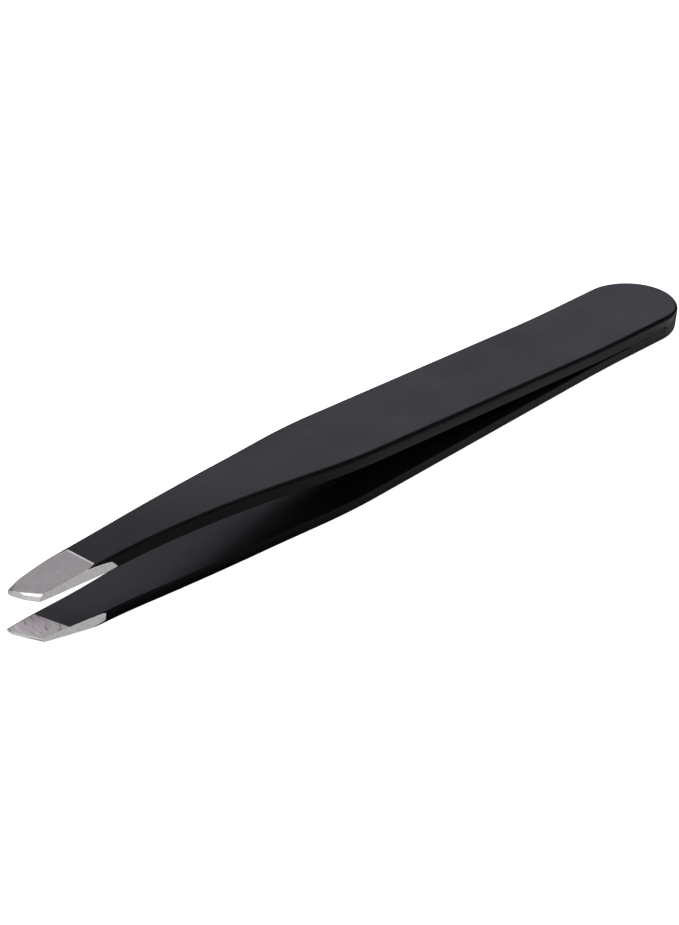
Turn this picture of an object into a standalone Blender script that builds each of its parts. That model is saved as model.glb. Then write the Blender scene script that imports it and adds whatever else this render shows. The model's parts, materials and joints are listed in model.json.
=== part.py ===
"""Slant tweezers: two stamped steel arms, edge-welded at the butt and sprung apart at the tips.

Each arm is one strip on the real object. It is made here as four solids: the welded root, the
free arm that swings on its flexure, the jaw beyond the knee, and the bare ground tip.

Strip coordinates: s runs from the butt end to the tips, y is across (the long corner of the slant
is at negative y), z is the height above the plane between the two arms. The finished tweezers lie
on a flat surface on the lower arm, tips towards -X.
"""
import math

import bmesh
import bpy
import numpy as np
from mathutils import Vector

MM = 0.001

# Driving dimensions, in millimetres.
LENGTH = 95.0             # butt end to the long corner of the slant
THICKNESS = 1.3           # steel strip with its coat
OUTER_CHAMFER = 0.30      # round-over of the outer edges
INNER_CHAMFER = 0.12      # broken inner edges
PARTING = 0.05            # gap left between neighbouring solids

# Outline of the strip, seen flat.
BUTT_ROUND = 5.9          # length of the half-elliptical butt end
BUTT_HALF_WIDTH = 4.8
HANDLE_TAPER = 0.007      # half-width lost per millimetre of handle
SHOULDER_AT = 57.1        # where the handle turns into the tapering blade
SHOULDER_LENGTH = 8.0
SHOULDER_TURN = 0.106
BLADE_HOLLOW_AT = 74.0    # the blade's edges are slightly hollow about here
BLADE_HOLLOW_LENGTH = 26.0
BLADE_HOLLOW_TURN = 0.066
NEAR_FLARE_AT = 83.5      # the short-corner edge runs nearly straight to the tip
NEAR_FLARE_LENGTH = 5.0
NEAR_FLARE_TURN = 0.050
FAR_ROUND_AT = 92.0       # the long-corner edge curves in to its point
FAR_ROUND_LENGTH = 6.0
FAR_ROUND_TURN = 0.060
SLANT = 0.9               # how far the short corner is set back from the long one

# Side profile of one arm.
WELD_LENGTH = 12.5        # the arms lie together over this length
ROOT_BEND_AT = 16.8
ROOT_BEND_LENGTH = 8.0
ROOT_BEND_TURN = 0.0375   # slope of the arm away from the middle plane
KNEE_AT = 75.5
KNEE_LENGTH = 14.0
KNEE_TURN = 0.0685        # the blade turns back towards the other arm
COAT_END = 88.0           # bare ground steel from here to the tip
TIP_HALF_GAP = 1.70       # inner face of the tip to the middle plane
TIP_THICKNESS = 0.5

# The flexure: where the bending strip behaves as if it were hinged.
FLEX_AT = 25.0
CLOSED_GAP = 0.04         # left between the two tips when the tweezers are closed

# Edge weld between the two butts, ground flush.
WELD_DEPTH = 0.45

BUTT_STEPS = 14
FIRST_BUTT_ANGLE = 6.0    # degrees; leaves a short flat at the very end of the butt

COAT = ("black_coat", (0.035, 0.034, 0.038, 1.0), 0.42, 0.0)
STEEL = ("ground_steel", (0.56, 0.54, 0.54, 1.0), 0.34, 1.0)
WELD = ("weld_steel", (0.05, 0.05, 0.055, 1.0), 0.50, 0.8)


def turn(s, centre, length):
    """Distance gained by a unit change of slope that is spread over length about centre."""
    into = min(max((s - centre) / length + 0.5, 0.0), 1.0)
    beyond = max(s - centre - length / 2, 0.0)
    return length * into * into / 2 + beyond


def half_width(s):
    return (BUTT_HALF_WIDTH
            - HANDLE_TAPER * (s - BUTT_ROUND)
            - SHOULDER_TURN * turn(s, SHOULDER_AT, SHOULDER_LENGTH)
            + BLADE_HOLLOW_TURN * turn(s, BLADE_HOLLOW_AT, BLADE_HOLLOW_LENGTH))


def near_edge(s):
    return half_width(s) + NEAR_FLARE_TURN * turn(s, NEAR_FLARE_AT, NEAR_FLARE_LENGTH)


def far_edge(s):
    return -half_width(s) + FAR_ROUND_TURN * turn(s, FAR_ROUND_AT, FAR_ROUND_LENGTH)


def strip_height(s):
    """Inner face of the strip as bent, before the tip is ground."""
    return (PARTING / 2
            + ROOT_BEND_TURN * turn(s, ROOT_BEND_AT, ROOT_BEND_LENGTH)
            - KNEE_TURN * turn(s, KNEE_AT, KNEE_LENGTH))


FLEX_HEIGHT = strip_height(FLEX_AT) + THICKNESS / 2


def closing_angle():
    """Angle that each arm turns through before the two tips meet."""
    reach = LENGTH - FLEX_AT
    radius = math.hypot(reach, FLEX_HEIGHT - TIP_HALF_GAP)
    start = math.atan2(TIP_HALF_GAP - FLEX_HEIGHT, reach)
    stop = math.asin((CLOSED_GAP / 2 - FLEX_HEIGHT) / radius)
    return start - stop


def ground_height(s):
    """Plane ground on the inner face, which meets the other arm flat when the tips close."""
    angle = closing_angle()
    lift = CLOSED_GAP / 2 - FLEX_HEIGHT + (s - FLEX_AT) * math.sin(angle)
    return FLEX_HEIGHT + lift / math.cos(angle)


def inner_height(s):
    return max(strip_height(s), ground_height(s)) if s > COAT_END else strip_height(s)


def outer_height(s):
    if s <= COAT_END:
        return strip_height(s) + THICKNESS
    full = strip_height(COAT_END) + THICKNESS
    end = ground_height(LENGTH) + TIP_THICKNESS
    return full + (end - full) * (s - COAT_END) / (LENGTH - COAT_END)


def butt_station(angle, inset):
    """Far and near points of the half-elliptical butt outline, moved in by inset."""
    s = BUTT_ROUND - (BUTT_ROUND - inset) * math.cos(angle)
    y = (half_width(BUTT_ROUND) - inset) * math.sin(angle)
    return (s, -y), (s, y)


def blade_station(s, inset):
    """Far and near points of the outline at s, set back along the slant near the tip."""
    setback = SLANT * max(s - COAT_END, 0.0) / (LENGTH - COAT_END)
    return (s, far_edge(s) + inset), (s - setback, near_edge(s) - inset)


def butt_stations():
    first = math.radians(FIRST_BUTT_ANGLE)
    angles = np.linspace(first, math.pi / 2, BUTT_STEPS + 1)[:-1]
    return [lambda inset, angle=angle: butt_station(angle, inset) for angle in angles]


def blade_stations(start, end, step):
    count = max(int(round((end - start) / step)), 1)
    return [lambda inset, s=s: blade_station(s, inset) for s in np.linspace(start, end, count + 1)]


def section(station, inner_chamfer):
    """Eight points round the strip at one station, from the inner face's far edge."""
    inner_far, inner_near = station(inner_chamfer)
    far, near = station(0.0)
    chamfer = OUTER_CHAMFER
    if far[0] > COAT_END:
        thick = outer_height(far[0]) - inner_height(far[0])
        chamfer = min(OUTER_CHAMFER, thick / 3)
    outer_far, outer_near = station(chamfer)
    return [
        (*inner_far, inner_height(inner_far[0])),
        (*inner_near, inner_height(inner_far[0])),
        (*near, inner_height(far[0]) + inner_chamfer),
        (*near, outer_height(far[0]) - chamfer),
        (*outer_near, outer_height(outer_far[0])),
        (*outer_far, outer_height(outer_far[0])),
        (*far, outer_height(far[0]) - chamfer),
        (*far, inner_height(far[0]) + inner_chamfer),
    ]


def loft(rings):
    """Closed mesh through rings of equal length, with a flat cap on both ends."""
    count = len(rings[0])
    points = [point for ring in rings for point in ring]
    faces = []
    for k in range(len(rings) - 1):
        for i in range(count):
            j = (i + 1) % count
            faces.append((k * count + i, k * count + j, (k + 1) * count + j, (k + 1) * count + i))
    faces.append(tuple(reversed(range(count))))
    last = (len(rings) - 1) * count
    faces.append(tuple(range(last, last + count)))
    return points, faces


def weld_rings():
    """Bead in the groove between the two butts' inner edges, from one side round to the other."""
    side = [lambda inset, s=s: blade_station(s, inset) for s in (WELD_LENGTH - PARTING, BUTT_ROUND)]
    stations = side + butt_stations()[::-1]
    depth = WELD_DEPTH
    height = WELD_DEPTH - PARTING

    def ring(station, which):
        out = station(0.0)[which]
        root = station(depth)[which]
        return [(*out, -height), (*out, height), (*root, 0.0)]

    far_side = [ring(station, 0) for station in stations]
    near_side = [ring(station, 1) for station in reversed(stations)]
    return far_side + near_side


def tweezer_point(point, mirror):
    """Strip coordinates to the tweezers' own frame in metres: tips towards -X, long corner at +Y."""
    s, y, z = point
    return Vector((-s * MM, -y * MM, z * mirror * MM))


def make_material(spec):
    name, colour, roughness, metallic = spec
    material = bpy.data.materials.new(name)
    material.use_nodes = True
    shader = material.node_tree.nodes["Principled BSDF"]
    shader.inputs["Base Color"].default_value = colour
    shader.inputs["Roughness"].default_value = roughness
    shader.inputs["Metallic"].default_value = metallic
    material.diffuse_color = colour
    return material


def make_node(name, rings, mirror, parent, material):
    points, faces = loft(rings)
    origin = parent.location if parent.parent else Vector()
    corners = [tweezer_point(point, mirror) - origin for point in points]
    mesh = bpy.data.meshes.new(name)
    mesh.from_pydata(corners, [], faces)
    mesh.materials.append(material)
    shape = bmesh.new()
    shape.from_mesh(mesh)
    bmesh.ops.recalc_face_normals(shape, faces=shape.faces)
    shape.to_mesh(mesh)
    shape.free()
    node = bpy.data.objects.new(name, mesh)
    bpy.context.collection.objects.link(node)
    node.parent = parent
    return node


def make_empty(name, location, parent=None):
    empty = bpy.data.objects.new(name, None)
    empty.location = location
    empty.empty_display_size = 5 * MM
    bpy.context.collection.objects.link(empty)
    empty.parent = parent
    return empty


def lie_on_surface(frame, nodes):
    """Tilt and lift the frame so that the butt and the lower arm's knee touch z = 0."""
    heel = OUTER_CHAMFER
    touching = np.arange(WELD_LENGTH, COAT_END, 0.5)
    rises = [(strip_height(s) - strip_height(heel)) / (s - heel) for s in touching]
    frame.rotation_euler = (0, math.atan(max(rises)), 0)
    bpy.context.view_layer.update()
    corners = np.array([node.matrix_world @ v.co for node in nodes for v in node.data.vertices])
    low = corners.min(axis=0)
    high = corners.max(axis=0)
    frame.location = (-(low[0] + high[0]) / 2, -(low[1] + high[1]) / 2, -low[2])
    bpy.context.view_layer.update()


def build():
    for leftover in list(bpy.data.objects):
        bpy.data.objects.remove(leftover)
    coat = make_material(COAT)
    steel = make_material(STEEL)
    weld = make_material(WELD)
    frame = make_empty("tweezers", (0, 0, 0))
    lengths = {
        "arm_root": butt_stations() + blade_stations(BUTT_ROUND, WELD_LENGTH, 3.0),
        "arm": blade_stations(WELD_LENGTH + PARTING, KNEE_AT, 1.5),
        "jaw": blade_stations(KNEE_AT + PARTING, COAT_END, 1.5),
        "tip": blade_stations(COAT_END + PARTING, LENGTH, 0.7),
    }
    nodes = [make_node("butt_weld", weld_rings(), 1, frame, weld)]
    for side, mirror in (("upper", 1), ("lower", -1)):
        hinge = make_empty(side + "_arm_flexure", tweezer_point((FLEX_AT, 0, FLEX_HEIGHT), mirror), frame)
        for name, stations in lengths.items():
            inner_edge = WELD_DEPTH if name == "arm_root" else INNER_CHAMFER
            rings = [section(station, inner_edge) for station in stations]
            parent = frame if name == "arm_root" else hinge
            material = steel if name == "tip" else coat
            nodes.append(make_node(side + "_" + name, rings, mirror, parent, material))
    lie_on_surface(frame, nodes)


build()
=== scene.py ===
"""Looks of the slant tweezers: coated arms, ground steel tips and the edge weld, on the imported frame.

Shapes are worked out in strip coordinates, in millimetres: s runs from the butt end to the tips,
y across towards the short corner of the slant, z up from the plane between the two arms. They are
the same driving dimensions as the frame's, with round edges, a coat and ground facets added.
"""
import json
import math

import bmesh
import bpy
import numpy as np
from mathutils import Matrix, Vector

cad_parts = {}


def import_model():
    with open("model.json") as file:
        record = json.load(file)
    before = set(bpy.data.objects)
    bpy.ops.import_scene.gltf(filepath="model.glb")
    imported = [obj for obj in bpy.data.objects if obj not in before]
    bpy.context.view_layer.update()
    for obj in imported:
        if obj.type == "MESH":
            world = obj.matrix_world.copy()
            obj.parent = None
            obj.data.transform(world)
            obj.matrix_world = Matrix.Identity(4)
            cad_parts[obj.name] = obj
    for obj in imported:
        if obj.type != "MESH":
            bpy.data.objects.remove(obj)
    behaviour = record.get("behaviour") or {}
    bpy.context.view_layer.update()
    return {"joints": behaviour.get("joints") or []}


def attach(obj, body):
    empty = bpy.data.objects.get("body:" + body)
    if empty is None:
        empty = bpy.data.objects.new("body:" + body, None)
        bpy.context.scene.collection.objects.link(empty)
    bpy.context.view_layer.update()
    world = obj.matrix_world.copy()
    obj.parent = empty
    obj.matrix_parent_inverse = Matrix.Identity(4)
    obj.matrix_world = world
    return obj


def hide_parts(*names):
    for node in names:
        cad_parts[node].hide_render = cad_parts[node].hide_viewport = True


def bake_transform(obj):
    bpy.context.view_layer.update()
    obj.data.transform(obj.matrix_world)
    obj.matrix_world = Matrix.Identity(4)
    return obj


MM = 0.001

# Strip, as in the frame.
LENGTH = 95.0
THICKNESS = 1.3
BUTT_ROUND = 5.9
BUTT_HALF_WIDTH = 4.8
HANDLE_TAPER = 0.007
SHOULDER_AT, SHOULDER_LENGTH, SHOULDER_TURN = 57.1, 8.0, 0.106
BLADE_HOLLOW_AT, BLADE_HOLLOW_LENGTH, BLADE_HOLLOW_TURN = 74.0, 26.0, 0.066
NEAR_FLARE_AT, NEAR_FLARE_LENGTH, NEAR_FLARE_TURN = 83.5, 5.0, 0.050
FAR_ROUND_AT, FAR_ROUND_LENGTH, FAR_ROUND_TURN = 92.0, 6.0, 0.060
SWELL_AT, SWELL_LENGTH = 79.5, 5.6
ROOT_BEND_AT, ROOT_BEND_LENGTH, ROOT_BEND_TURN = 16.8, 8.0, 0.0375
KNEE_AT, KNEE_LENGTH, KNEE_TURN = 75.5, 14.0, 0.0685
PARTING = 0.05            # between the two arms at the butt
FLEX_AT = 25.0

# Finish.
OUTER_CHAMFER = 0.29      # 45 degree chamfer on the outer edges
OUTER_FILLET = 0.45       # softens both sides of that chamfer
INNER_RADIUS = 0.13       # broken inner edges
FILLET_STEPS = 4
INNER_STEPS = 3
STATION_STEP = 0.5
BUTT_STEPS = 26
FIRST_BUTT_ANGLE = 1.5    # degrees
COAT_FILM = 0.035         # the coat stands this far above bare steel
CLEARANCE = 0.02          # the coat's cut faces lie this far under the ground facets
CORE_START = 83.0         # bare steel runs under the coat from here
GROUND_FROM = 84.0        # the grinding wheel never reaches further back than this
GRIP_FROM_FAR = 90.75     # where the gripping face meets the inner face, far and near side
GRIP_FROM_NEAR = 89.9
OVERRUN = 1.5             # the strips run on this far past the tips before they are ground to length

TIP_INNER = 1.70          # from the middle plane to the gripping faces at the tips
BROW_SLOPE = 0.9          # rise of the brow facet's direction over its reach along the tips
CORNER_CUT = (0.25, 1.0, 0.1)   # far corner facet: across from it, back along the far edge, in from that
CORNER_DEPTH = 0.5        # share of the tip's thickness that the far corner facet takes off
FLAT_FACING = 0.8         # a face whose normal is this upright is the bevel or the gripping face
SHARP_ANGLE = 28          # degrees, edges folded more than this shade as sharp

COAT_DARK = (0.0009, 0.0009, 0.0011)
COAT_LIGHT = (0.0018, 0.0016, 0.0020)
COAT_ROUGHNESS = 0.30
FILE_MARK = (0.16, 0.13, 0.14)
# Painted highlight: near-white colour of the band on the ground bevel along the coat line, and its width in
# mm.
RIM_HIGHLIGHT_TONE = (0.95, 0.93, 0.94)
RIM_HIGHLIGHT_WIDTH = 0.42
# One ground steel in three tone sets, each of grain, lighter grain and warm blotch. The sets differ as
# painted light and shade: the side and end set is painted lightest, the bevel set darkest and the gripping
# face between, for how the lamps fall on each facet.
BEVEL_TONES_PAINTED_DARKER = ((0.43, 0.41, 0.415), (0.58, 0.555, 0.56), (0.49, 0.44, 0.455))
GRIP_TONES = ((0.46, 0.42, 0.44), (0.72, 0.68, 0.70), (0.60, 0.52, 0.56))
SIDE_TONES_PAINTED_LIGHTER = ((0.70, 0.685, 0.69), (0.92, 0.905, 0.91), (0.86, 0.80, 0.81))

# Studio, in the row frame. Each light has a name, a direction from the object, a distance,
# a width and height, a radiance and a tint.
LIGHTS = [
    ("key", (-0.50, -0.50, 0.70), 1.2, (1.2, 1.2), 5.0, (1.0, 1.0, 1.0)),
    ("back card", (0.72, 0.52, 0.38), 0.9, (1.1, 0.26), 0.60, (1.0, 0.96, 1.14)),
    ("high card", (0.57, 0.52, 0.95), 0.9, (0.7, 0.35), 0.7, (1.0, 0.95, 1.0)),
    ("left card", (-0.72, 0.60, 0.45), 0.9, (0.8, 0.5), 0.35, (1.0, 0.98, 1.03)),
    ("right card", (0.60, -0.78, 0.20), 0.9, (0.9, 0.16), 0.18, (1.0, 0.98, 1.03)),
    ("overhead", (0.05, 0.10, 1.00), 0.9, (0.8, 0.5), 0.25, (1.0, 0.97, 1.05)),
]
WORLD_GLOW = 0.012
# Painted light: reflectance of the floor as the object sees it, at places along its length, paler in front
# of the butt to paint the highlight on the butt's end.
FLOOR_PAINTED_REFLECTANCE = [
    (-0.016, 0.09),
    (0.006, 0.23),
    (0.042, 0.25),
    (0.050, 0.7),
    (0.065, 0.7),
    (0.080, 0.03),
]
FLOOR_PAINTED_SHADOW = (-0.0035, -0.0065)      # across the object: where the painted shadow on the floor under it ends
FLOOR_GLOW = 0.95

# How each tip is ground: mirror is the side of the middle plane, swell widens the blade behind the tip,
# bevel_from and facet_from are where the outer bevel and the side facet start, facet_lean is the side
# facet's direction (along, up) for 1 across, end is the slanted end's outline from far to near, and
# the brow is the narrow facet over that end.
ARMS = {
    "upper": {
        "mirror": 1,
        "swell": 0.0,
        "bevel_from": 87.87,
        "tip_thickness": 0.58,
        "facet_from": 85.2,
        "facet_lean": (0.0755, -0.08),
        "end": [(94.95, -1.45), (95.03, -0.85), (94.70, 0.31), (93.92, 1.60)],
        "brow_set_back": 0.19,
        "brow_widens": 0.09,
    },
    "lower": {
        "mirror": -1,
        "swell": 0.42,
        "bevel_from": 86.2,
        "tip_thickness": 0.26,
        "facet_from": 86.5,
        "facet_lean": (0.06, 0.0),
        "end": [(94.90, -1.35), (94.98, -0.95), (93.80, 1.68)],
        "brow_set_back": 0.03,
        "brow_widens": 0.03,
    },
}


def turn(s, centre, length):
    """Distance gained by a unit change of slope that is spread over length about centre."""
    into = min(max((s - centre) / length + 0.5, 0.0), 1.0)
    beyond = max(s - centre - length / 2, 0.0)
    return length * into * into / 2 + beyond


def half_width(s):
    return (BUTT_HALF_WIDTH
            - HANDLE_TAPER * (s - BUTT_ROUND)
            - SHOULDER_TURN * turn(s, SHOULDER_AT, SHOULDER_LENGTH)
            + BLADE_HOLLOW_TURN * turn(s, BLADE_HOLLOW_AT, BLADE_HOLLOW_LENGTH))


def near_edge(s):
    return half_width(s) + NEAR_FLARE_TURN * turn(s, NEAR_FLARE_AT, NEAR_FLARE_LENGTH)


def far_edge(s, swell=0.0):
    """The long-corner edge; swell widens the blade just behind the tip."""
    widened = swell * math.exp(-(((s - SWELL_AT) / SWELL_LENGTH) ** 2))
    return -half_width(s) + FAR_ROUND_TURN * turn(s, FAR_ROUND_AT, FAR_ROUND_LENGTH) - widened


def inner_height(s):
    return (PARTING / 2
            + ROOT_BEND_TURN * turn(s, ROOT_BEND_AT, ROOT_BEND_LENGTH)
            - KNEE_TURN * turn(s, KNEE_AT, KNEE_LENGTH))


def station(s, inset, swell):
    """Far and near outline points at s, moved in by inset; round the butt, s is an angle below zero."""
    if s < 0:
        angle = math.pi / 2 + s
        along = BUTT_ROUND - (BUTT_ROUND - inset) * math.cos(angle)
        across = (BUTT_HALF_WIDTH - inset) * math.sin(angle)
        return (along, -across), (along, across)
    return (s, far_edge(s, swell) + inset), (s, near_edge(s) - inset)


def edge_profile(skin):
    """(inset, height, from the inner or outer face) round one edge of the strip, inner face first."""
    points = []
    for k in range(INNER_STEPS + 1):
        a = math.pi / 2 * k / INNER_STEPS
        inset = INNER_RADIUS * (1 - math.sin(a))
        height = INNER_RADIUS * (1 - math.cos(a))
        points.append((inset + skin, height + skin))
    reach = OUTER_CHAMFER + OUTER_FILLET * math.tan(math.pi / 8)
    fillet = []
    for k in range(FILLET_STEPS + 1):
        a = math.pi / 4 * k / FILLET_STEPS
        fillet.append((OUTER_FILLET * (1 - math.cos(a)), reach - OUTER_FILLET * math.sin(a)))
    softened = fillet + [(depth, inset) for inset, depth in reversed(fillet)]
    return points + [(inset + skin, THICKNESS - depth - skin) for inset, depth in softened]


def strip(start, end, swell, skin=0.0):
    """Closed strip from start to end with rounded edges, all faces moved in by skin."""
    straight_from = max(start, BUTT_ROUND)
    steps = int((end - straight_from) / STATION_STEP)
    stops = list(np.linspace(straight_from, end, steps + 1))
    if start <= 0:
        first = math.radians(FIRST_BUTT_ANGLE)
        stops = list(np.linspace(first - math.pi / 2, 0, BUTT_STEPS, endpoint=False)) + stops
    profile = edge_profile(skin)
    shape = bmesh.new()
    rings = []
    for s in stops:
        near = []
        far = []
        for inset, height in profile:
            far_point, near_point = station(s, inset, swell)
            near.append((*near_point, inner_height(near_point[0]) + height))
            far.append((*far_point, inner_height(far_point[0]) + height))
        rings.append([shape.verts.new(point) for point in near + far[::-1]])
    count = len(rings[0])
    for ring, after in zip(rings, rings[1:]):
        for i in range(count):
            j = (i + 1) % count
            shape.faces.new((ring[i], ring[j], after[j], after[i]))
    for ring in (rings[0], rings[-1]):
        for i in range(count // 2 - 1):
            shape.faces.new((ring[i], ring[i + 1], ring[count - 2 - i], ring[count - 1 - i]))
    bmesh.ops.recalc_face_normals(shape, faces=shape.faces)
    return shape


def grind(shape, planes, sink=0.0):
    """Cut the shape by each plane (point, normal out of the steel), moved in by sink, and close it."""
    for point, normal in planes:
        normal = Vector(normal).normalized()
        point = Vector(point) - normal * sink
        verts = [vert for vert in shape.verts if vert.co.x > GROUND_FROM]
        near = set(verts)
        edges = [edge for edge in shape.edges if near.issuperset(edge.verts)]
        faces = [face for face in shape.faces if near.issuperset(face.verts)]
        cut = bmesh.ops.bisect_plane(
            shape,
            geom=verts + edges + faces,
            plane_co=point,
            plane_no=normal,
            clear_outer=True,
            dist=1e-6,
        )
        rim = [edge for edge in cut["geom_cut"] if isinstance(edge, bmesh.types.BMEdge)]
        bmesh.ops.contextual_create(shape, geom=rim)
    bmesh.ops.recalc_face_normals(shape, faces=shape.faces)


def plane_through(first, second, third):
    """Plane through three points, facing away from the middle of the arm."""
    first, second, third = Vector(first), Vector(second), Vector(third)
    normal = (second - first).cross(third - first)
    inside = Vector((GROUND_FROM, 0, inner_height(GROUND_FROM) + THICKNESS / 2))
    if normal.dot(first - inside) < 0:
        normal = -normal
    return first, normal


def ground_planes(arm):
    """Planes that the tip is ground to, as points on them and directions out of the steel."""
    bevel_from = arm["bevel_from"]
    outer = inner_height(bevel_from) + THICKNESS
    tip_outer = TIP_INNER + arm["tip_thickness"]
    bevel = plane_through((bevel_from, 0, outer), (LENGTH, 0, tip_outer), (bevel_from, 1, outer))
    grip = plane_through(
        (GRIP_FROM_FAR, far_edge(GRIP_FROM_FAR), inner_height(GRIP_FROM_FAR)),
        (GRIP_FROM_NEAR, near_edge(GRIP_FROM_NEAR), inner_height(GRIP_FROM_NEAR)),
        (LENGTH, 0, TIP_INNER))
    start = arm["facet_from"]
    along, up = arm["facet_lean"]
    facet = ((start, near_edge(start), inner_height(start)), (along, 1, up))
    planes = [bevel, grip, facet]
    corners = arm["end"]
    for (s, y), (next_s, next_y) in zip(corners, corners[1:]):
        planes.append(((s, y, TIP_INNER), (next_y - y, s - next_s, 0)))
    far = Vector((*corners[1], tip_outer))
    near = Vector((*corners[-1], tip_outer))
    along_end = (near - far).normalized()
    out_of_end = Vector((along_end.y, -along_end.x, 0))
    brow = far + arm["brow_set_back"] * out_of_end
    planes.append((brow, out_of_end + Vector((0, 0, BROW_SLOPE)) + arm["brow_widens"] * along_end))
    rise = (outer - tip_outer) / (LENGTH - bevel_from)
    along_tip, back, inward = CORNER_CUT
    behind = corners[0][0] - back
    planes.append(plane_through(
        (corners[1][0], corners[1][1] + along_tip, tip_outer),
        (behind, far_edge(behind) + inward, tip_outer + rise * back),
        (*corners[0], TIP_INNER + CORNER_DEPTH * arm["tip_thickness"])))
    return planes


def strip_frame(joints):
    """Strip coordinates in metres to the row frame, from the two flexures."""
    upper, lower = (Vector(joint["pos_m"]) for joint in joints)
    apart = upper - lower
    lean = Matrix.Rotation(math.atan2(apart.x, apart.z), 4, "Y")
    return Matrix.Translation((upper + lower) / 2) @ lean @ Matrix.Translation((FLEX_AT * MM, 0, 0))


def finish_piece(name, shape, mirror, place):
    for vertex in shape.verts:
        s, y, z = vertex.co
        vertex.co = place @ Vector((-s * MM, -y * MM, z * mirror * MM))
    bmesh.ops.recalc_face_normals(shape, faces=shape.faces)
    mesh = bpy.data.meshes.new(name)
    shape.to_mesh(mesh)
    shape.free()
    mesh.shade_smooth()
    mesh.set_sharp_from_angle(angle=math.radians(SHARP_ANGLE))
    piece = bpy.data.objects.new(name, mesh)
    bpy.context.scene.collection.objects.link(piece)
    weighted = piece.modifiers.new("flat faces stay flat", "WEIGHTED_NORMAL")
    weighted.keep_sharp = True
    return piece


def mark_ground_faces(shape):
    """Material 0 on the outer bevel, 1 on the gripping face, 2 on the side and end."""
    shape.normal_update()
    for face in shape.faces:
        if face.normal.z > FLAT_FACING:
            face.material_index = 0
        elif face.normal.z < -FLAT_FACING:
            face.material_index = 1
        else:
            face.material_index = 2


class Surface:
    """A material with a Principled shader and short calls for the nodes that drive it."""

    def __init__(self, name, roughness, metallic):
        self.material = bpy.data.materials.new(name)
        self.material.use_nodes = True
        self.nodes = self.material.node_tree.nodes
        self.links = self.material.node_tree.links
        self.shader = self.nodes["Principled BSDF"]
        self.shader.inputs["Roughness"].default_value = roughness
        self.shader.inputs["Metallic"].default_value = metallic
        self.where = self.nodes.new("ShaderNodeTexCoord").outputs["Object"]

    def placed(self, features, heading):
        """Object coordinates turned by heading and scaled to features per metre along each axis."""
        turned = self.nodes.new("ShaderNodeMapping")
        turned.inputs["Rotation"].default_value = (0, 0, heading)
        self.links.new(self.where, turned.inputs["Vector"])
        scaled = self.nodes.new("ShaderNodeMapping")
        scaled.inputs["Scale"].default_value = features
        self.links.new(turned.outputs["Vector"], scaled.inputs["Vector"])
        return scaled.outputs["Vector"]

    def noise(self, features, heading=0.0, detail=2.0):
        node = self.nodes.new("ShaderNodeTexNoise")
        node.inputs["Scale"].default_value = 1.0
        node.inputs["Detail"].default_value = detail
        self.links.new(self.placed(features, heading), node.inputs["Vector"])
        return node.outputs["Fac"]

    def ramp(self, value, low, high, start, end):
        node = self.nodes.new("ShaderNodeMapRange")
        node.inputs["From Min"].default_value = low
        node.inputs["From Max"].default_value = high
        node.inputs["To Min"].default_value = start
        node.inputs["To Max"].default_value = end
        self.links.new(value, node.inputs["Value"])
        return node.outputs["Result"]

    def math(self, operation, first, second):
        node = self.nodes.new("ShaderNodeMath")
        node.operation = operation
        self.links.new(first, node.inputs[0])
        self.links.new(second, node.inputs[1])
        return node.outputs["Value"]

    def mix(self, factor, first, second):
        """Colour between first and second, each a colour or another node's output."""
        node = self.nodes.new("ShaderNodeMix")
        node.data_type = "RGBA"
        self.links.new(factor, node.inputs["Factor"])
        for socket, colour in ((node.inputs[6], first), (node.inputs[7], second)):
            if isinstance(colour, tuple):
                socket.default_value = (*colour, 1)
            else:
                self.links.new(colour, socket)
        return node.outputs[2]

    def bump(self, height, depth):
        node = self.nodes.new("ShaderNodeBump")
        node.inputs["Distance"].default_value = depth
        node.inputs["Strength"].default_value = 1.0
        self.links.new(height, node.inputs["Height"])
        self.links.new(node.outputs["Normal"], self.shader.inputs["Normal"])

    def drive(self, socket, value):
        self.links.new(value, self.shader.inputs[socket])


def coat_surface():
    """Satin black paint: orange peel, faint cloudiness and hairlines from handling."""
    surface = Surface("black_coat", 0.4, 0.0)
    cloud = surface.noise((140, 240, 240), detail=3.0)
    peel = surface.noise((1700, 1700, 1700))
    hairlines = surface.noise((260, 4200, 4200), heading=0.05)
    surface.drive("Base Color", surface.mix(cloud, COAT_DARK, COAT_LIGHT))
    gloss = surface.ramp(cloud, 0.3, 0.7, COAT_ROUGHNESS - 0.03, COAT_ROUGHNESS + 0.03)
    worn = surface.ramp(hairlines, 0.35, 0.7, -0.008, 0.012)
    surface.drive("Roughness", surface.math("ADD", gloss, worn))
    surface.bump(peel, 0.000006)
    return surface.material


def weld_surface():
    """Weld bead under the same paint, lumpier along the bead."""
    surface = Surface("coated_weld", 0.5, 0.0)
    ripple = surface.noise((1500, 1500, 1500), detail=3.0)
    surface.drive("Base Color", surface.mix(ripple, COAT_DARK, COAT_LIGHT))
    surface.drive("Roughness", surface.ramp(ripple, 0.3, 0.7, 0.45, 0.6))
    surface.bump(ripple, 0.00004)
    return surface.material


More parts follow.
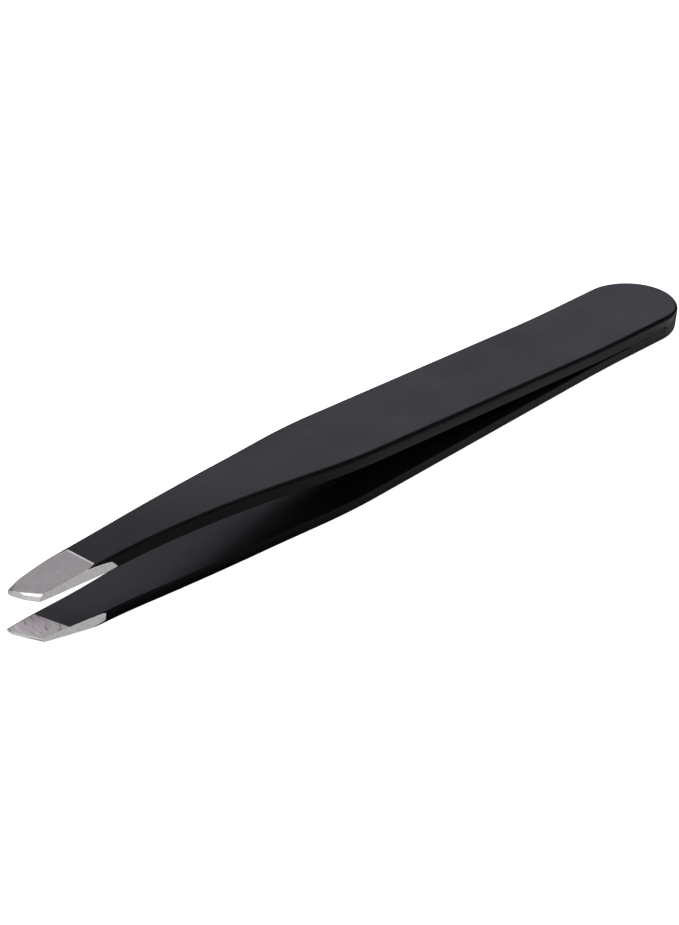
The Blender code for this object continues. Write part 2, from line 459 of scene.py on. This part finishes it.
def steel_surface(name, metallic, roughness, tones, grain, heading, depth, streaks=None, rim=None):
    """Ground steel: grain of the given features per metre and blotches.

    The gripping face also has coarse file marks, and the outer bevel a painted highlight: a near-white band
    along the coat.
    """
    surface = Surface(name, roughness, metallic)
    lines = surface.noise(grain, heading, detail=4.0)
    blotch = surface.noise((700, 700, 700), detail=3.0)
    dark, light, warm = tones
    tone = surface.mix(surface.ramp(lines, 0.3, 0.7, 0, 1), dark, light)
    tone = surface.mix(surface.ramp(blotch, 0.45, 0.75, 0, 0.8), tone, warm)
    height = lines
    if streaks:
        marks = surface.noise(streaks, heading + 0.15, detail=2.0)
        tone = surface.mix(surface.ramp(marks, 0.56, 0.70, 0, 0.75), tone, FILE_MARK)
        height = surface.math("ADD", lines, surface.ramp(marks, 0.5, 0.7, 0, -1.5))
    # Painted highlight: near-white band on the bevel along the coat line, where the ground edge catches the
    # light.
    if rim:
        split = surface.nodes.new("ShaderNodeSeparateXYZ")
        surface.links.new(surface.where, split.inputs["Vector"])
        width = RIM_HIGHLIGHT_WIDTH * MM
        edge = surface.ramp(split.outputs["X"], rim - width, rim - 0.6 * width, 0, 1)
        tone = surface.mix(edge, tone, RIM_HIGHLIGHT_TONE)
    surface.drive("Base Color", tone)
    surface.drive("Roughness", surface.ramp(lines, 0.3, 0.7, roughness - 0.08, roughness + 0.08))
    surface.bump(height, depth)
    return surface.material


def camera():
    azimuth = math.radians(-52.70)
    elevation = math.radians(29.34)
    roll = math.radians(4.46)
    distance = 0.25
    aim = Vector((-0.00321, 0.00221, 0.00028))
    level = math.cos(elevation)
    back = Vector((math.sin(azimuth) * level, -math.cos(azimuth) * level, math.sin(elevation)))
    data = bpy.data.cameras.new("camera")
    data.lens = 103.56
    data.sensor_width = 36
    data.clip_start = 0.01
    view = bpy.data.objects.new("camera", data)
    turn_to = back.to_track_quat("Z", "Y").to_matrix().to_4x4()
    view.matrix_world = Matrix.Translation(aim + back * distance) @ turn_to @ Matrix.Rotation(roll, 4, "Z")
    bpy.context.scene.collection.objects.link(view)
    bpy.context.scene.camera = view


def area_light(name, direction, distance, size, radiance, tint):
    """Soft box that faces the object and looks equally bright from all over it."""
    data = bpy.data.lights.new(name, "AREA")
    data.shape = "RECTANGLE"
    data.size, data.size_y = size
    data.energy = radiance * math.pi * size[0] * size[1]
    data.color = tint
    light = bpy.data.objects.new(name, data)
    direction = Vector(direction).normalized()
    light.location = direction * distance
    light.rotation_euler = direction.to_track_quat("Z", "Y").to_euler()
    bpy.context.scene.collection.objects.link(light)


def floor_material():
    """Pale floor: near white to look at, but the object reflects it dim, with painted light paler in front
    of the butt and a painted shadow under the object.
    """
    surface = Surface("pale_floor", 0.9, 0.0)
    surface.shader.inputs["Specular IOR Level"].default_value = 0.1
    split = surface.nodes.new("ShaderNodeSeparateXYZ")
    surface.links.new(surface.where, split.inputs["Vector"])
    # Painted light: the floor's reflectance ramp along the object's length.
    ramp = surface.nodes.new("ShaderNodeValToRGB")
    first, last = FLOOR_PAINTED_REFLECTANCE[0][0], FLOOR_PAINTED_REFLECTANCE[-1][0]
    for k, (x, level) in enumerate(FLOOR_PAINTED_REFLECTANCE):
        stop = ramp.color_ramp.elements[k] if k < 2 else ramp.color_ramp.elements.new(1)
        stop.position = (x - first) / (last - first)
        stop.color = (level, level, level, 1)
    surface.links.new(surface.ramp(split.outputs["X"], first, last, 0, 1), ramp.inputs["Fac"])
    # Painted shadow: the floor turns near black under the object, as the object sees it.
    clear_of_painted_shadow = surface.ramp(split.outputs["Y"], *FLOOR_PAINTED_SHADOW, 0.05, 1)
    surface.drive("Base Color", surface.mix(clear_of_painted_shadow, (0.0, 0.0, 0.0), ramp.outputs["Color"]))
    seen = surface.nodes.new("ShaderNodeBsdfDiffuse")
    seen.inputs["Color"].default_value = (0.6, 0.6, 0.6, 1)
    glow = surface.nodes.new("ShaderNodeEmission")
    glow.inputs["Strength"].default_value = FLOOR_GLOW
    lit = surface.nodes.new("ShaderNodeAddShader")
    surface.links.new(seen.outputs[0], lit.inputs[0])
    surface.links.new(glow.outputs[0], lit.inputs[1])
    path = surface.nodes.new("ShaderNodeLightPath")
    choose = surface.nodes.new("ShaderNodeMixShader")
    surface.links.new(path.outputs["Is Camera Ray"], choose.inputs["Fac"])
    surface.links.new(surface.shader.outputs[0], choose.inputs[1])
    surface.links.new(lit.outputs[0], choose.inputs[2])
    surface.links.new(choose.outputs[0], surface.nodes["Material Output"].inputs["Surface"])
    return surface.material


def studio():
    bpy.ops.mesh.primitive_plane_add(size=6)
    floor = bpy.context.object
    floor.name = "floor"
    floor.data.materials.append(floor_material())
    world = bpy.data.worlds.new("studio")
    world.use_nodes = True
    nodes = world.node_tree.nodes
    links = world.node_tree.links
    dim = nodes["Background"]
    dim.inputs["Color"].default_value = (1, 1, 1, 1)
    dim.inputs["Strength"].default_value = WORLD_GLOW
    pale = nodes.new("ShaderNodeBackground")
    pale.inputs["Color"].default_value = (1, 1, 1, 1)
    path = nodes.new("ShaderNodeLightPath")
    choose = nodes.new("ShaderNodeMixShader")
    links.new(path.outputs["Is Camera Ray"], choose.inputs["Fac"])
    links.new(dim.outputs[0], choose.inputs[1])
    links.new(pale.outputs[0], choose.inputs[2])
    links.new(choose.outputs[0], nodes["World Output"].inputs["Surface"])
    bpy.context.scene.world = world
    bpy.context.scene.view_settings.view_transform = "Standard"
    for light in LIGHTS:
        area_light(*light)


def main():
    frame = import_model()
    place = strip_frame(frame["joints"])
    coat = coat_surface()
    grip_steel = steel_surface(
        "steel_grip", 0.5, 0.55, GRIP_TONES,
        grain=(1200, 9000, 9000), heading=-1.27, depth=0.00001, streaks=(700, 3200, 3200))
    # Side and end steel, its tones painted lighter as painted light.
    side_steel = steel_surface(
        "steel_side", 0.4, 0.6, SIDE_TONES_PAINTED_LIGHTER,
        grain=(2500, 8000, 8000), heading=0.3, depth=0.000006)
    bpy.data.objects["butt_weld"].material_slots[0].material = weld_surface()
    for side, arm in ARMS.items():
        mirror = arm["mirror"]
        planes = ground_planes(arm)
        body = strip(0, LENGTH + OVERRUN, arm["swell"])
        grind(body, planes, CLEARANCE)
        piece = finish_piece(side + "_arm_coated", body, mirror, place)
        piece.data.materials.append(coat)
        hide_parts(side + "_arm_root", side + "_arm", side + "_jaw")
        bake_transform(piece)
        core = strip(CORE_START, LENGTH + OVERRUN, arm["swell"], COAT_FILM)
        grind(core, planes)
        mark_ground_faces(core)
        tip = finish_piece(side + "_tip_ground", core, mirror, place)
        # Coat line on the bevel, where the painted highlight band lies.
        rim = (place @ Vector((-arm["bevel_from"] * MM, 0, mirror * 3 * MM))).x
        # Bevel steel, its tones painted darker as painted shade.
        bevel_steel = steel_surface(
            side + "_steel_bevel", 0.75, 0.45, BEVEL_TONES_PAINTED_DARKER,
            grain=(500, 9000, 9000), heading=0.0, depth=0.000006, rim=rim)
        for steel in (bevel_steel, grip_steel, side_steel):
            tip.data.materials.append(steel)
        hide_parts(side + "_tip")
        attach(tip, side + "_arm")
    studio()
    camera()


main()
